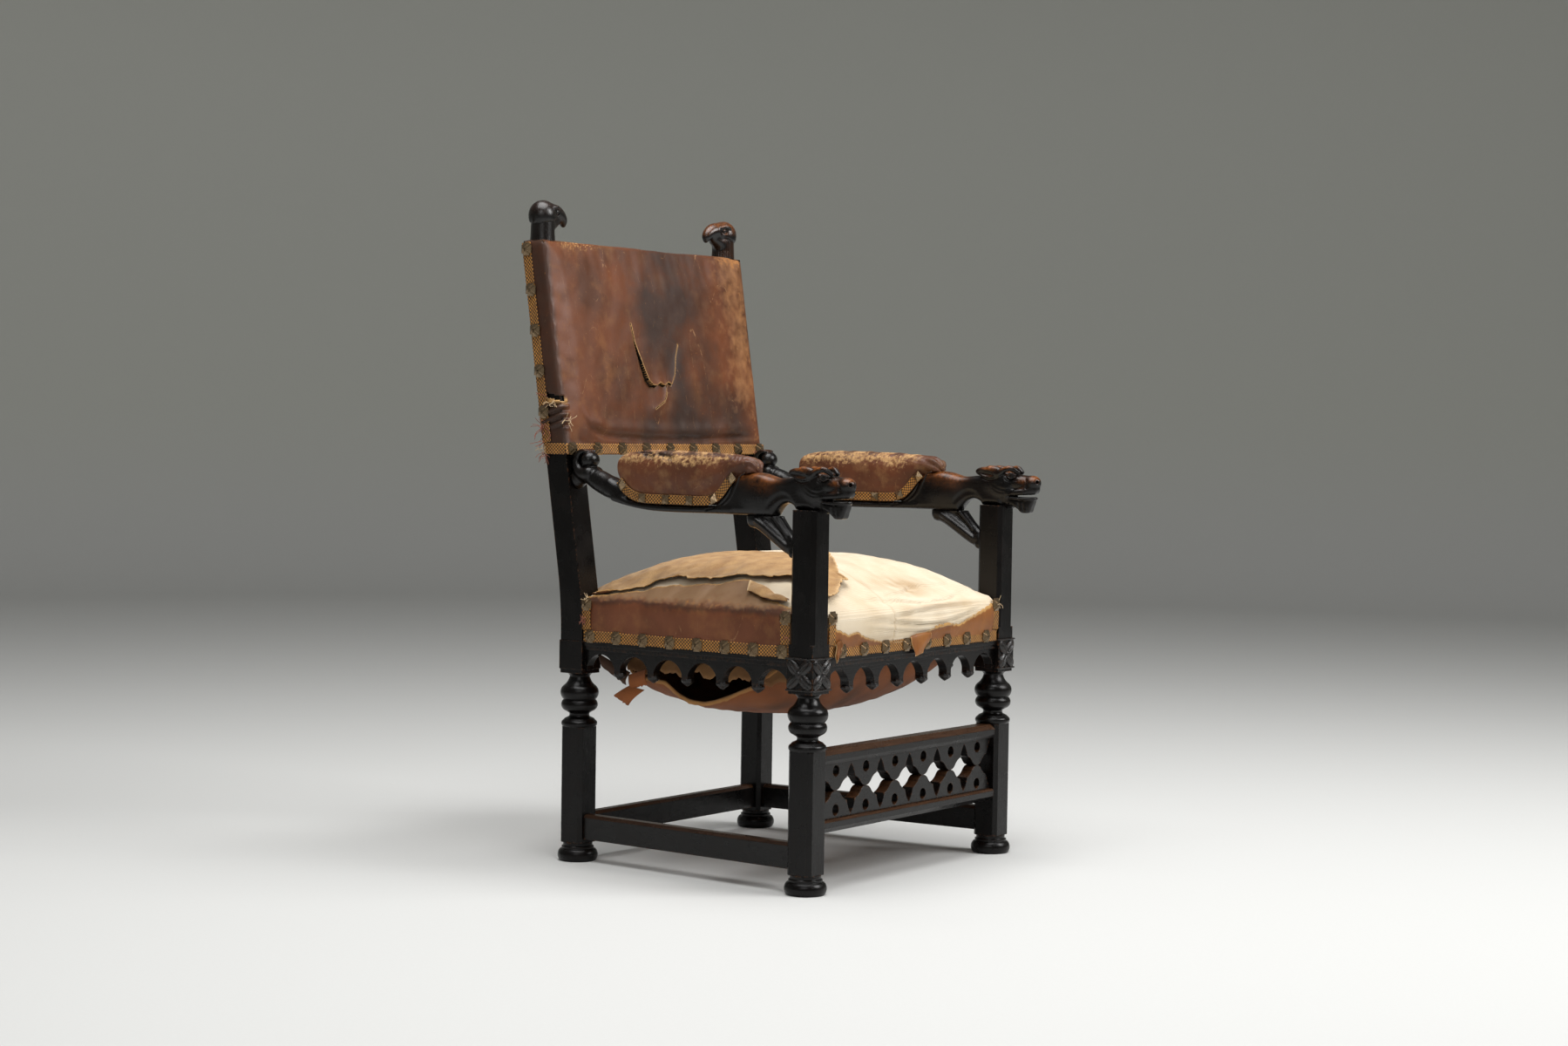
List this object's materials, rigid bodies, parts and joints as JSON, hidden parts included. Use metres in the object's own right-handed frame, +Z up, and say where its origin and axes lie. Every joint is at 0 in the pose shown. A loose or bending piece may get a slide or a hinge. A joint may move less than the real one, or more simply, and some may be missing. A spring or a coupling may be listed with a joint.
{
  "type": "gothic throne chair",
  "caption": "Carved ebonised armchair with animal-head arms, eagle finials, arcaded aprons, pierced front stretcher and worn leather seat, arms and back.",
  "frame": {"origin": "on the floor, under the middle of the chair's box", "axes": "+Z up, the chair faces -Y, +X is on the right seen from the front"},
  "size_m": [0.6244, 0.6825, 1.103],
  "materials": {
    "ebonised_wood": "ebonised and waxed, worn on the edges",
    "frame_wood": "plain beech",
    "leather": "worn and torn",
    "calico": "unbleached cotton",
    "braid": "woven, dull gold",
    "brass_studs": "tarnished",
    "webbing": "jute",
    "base_cloth": "coarse cloth",
    "stuffing": "horsehair"
  },
  "bodies": {
    "root": {"apron_front": "ebonised_wood", "apron_left": "ebonised_wood", "apron_moulding_front": "ebonised_wood", "apron_moulding_left": "ebonised_wood", "apron_moulding_right": "ebonised_wood", "apron_right": "ebonised_wood", "arm_bracket_left": "ebonised_wood", "arm_bracket_right": "ebonised_wood", "arm_braid_left": "braid", "arm_braid_right": "braid", "arm_dowels": "frame_wood", "arm_left": "ebonised_wood", "arm_pad_left": "leather", "arm_pad_right": "leather", "arm_right": "ebonised_wood", "arm_studs": "brass_studs", "back_braid": "braid", "back_cross_rail_bottom": "frame_wood", "back_cross_rail_top": "frame_wood", "back_leather": "leather", "back_post_left": "ebonised_wood", "back_post_right": "ebonised_wood", "back_rear_cover": "base_cloth", "back_studs": "brass_studs", "back_stuffing": "stuffing", "back_webbing": "webbing", "corner_blocks": "frame_wood", "dust_cover": "base_cloth", "eagle_finial_left": "ebonised_wood", "eagle_finial_right": "ebonised_wood", "foot_back_left": "ebonised_wood", "foot_back_right": "ebonised_wood", "foot_front_left": "ebonised_wood", "foot_front_right": "ebonised_wood", "front_leg_left": "ebonised_wood", "front_leg_right": "ebonised_wood", "front_stretcher_bottom_rail": "ebonised_wood", "front_stretcher_top_rail": "ebonised_wood", "seat_base_cloth": "base_cloth", "seat_braid": "braid", "seat_cushion": "calico", "seat_leather_back": "leather", "seat_leather_front": "leather", "seat_leather_left": "leather", "seat_leather_right": "leather", "seat_rail_back": "frame_wood", "seat_rail_front": "frame_wood", "seat_rail_left": "frame_wood", "seat_rail_right": "frame_wood", "seat_studs": "brass_studs", "seat_webbing": "webbing", "stretcher_back": "ebonised_wood", "stretcher_left": "ebonised_wood", "stretcher_right": "ebonised_wood", "tracery_lower": "ebonised_wood", "tracery_upper": "ebonised_wood"}
  },
  "joints": []
}
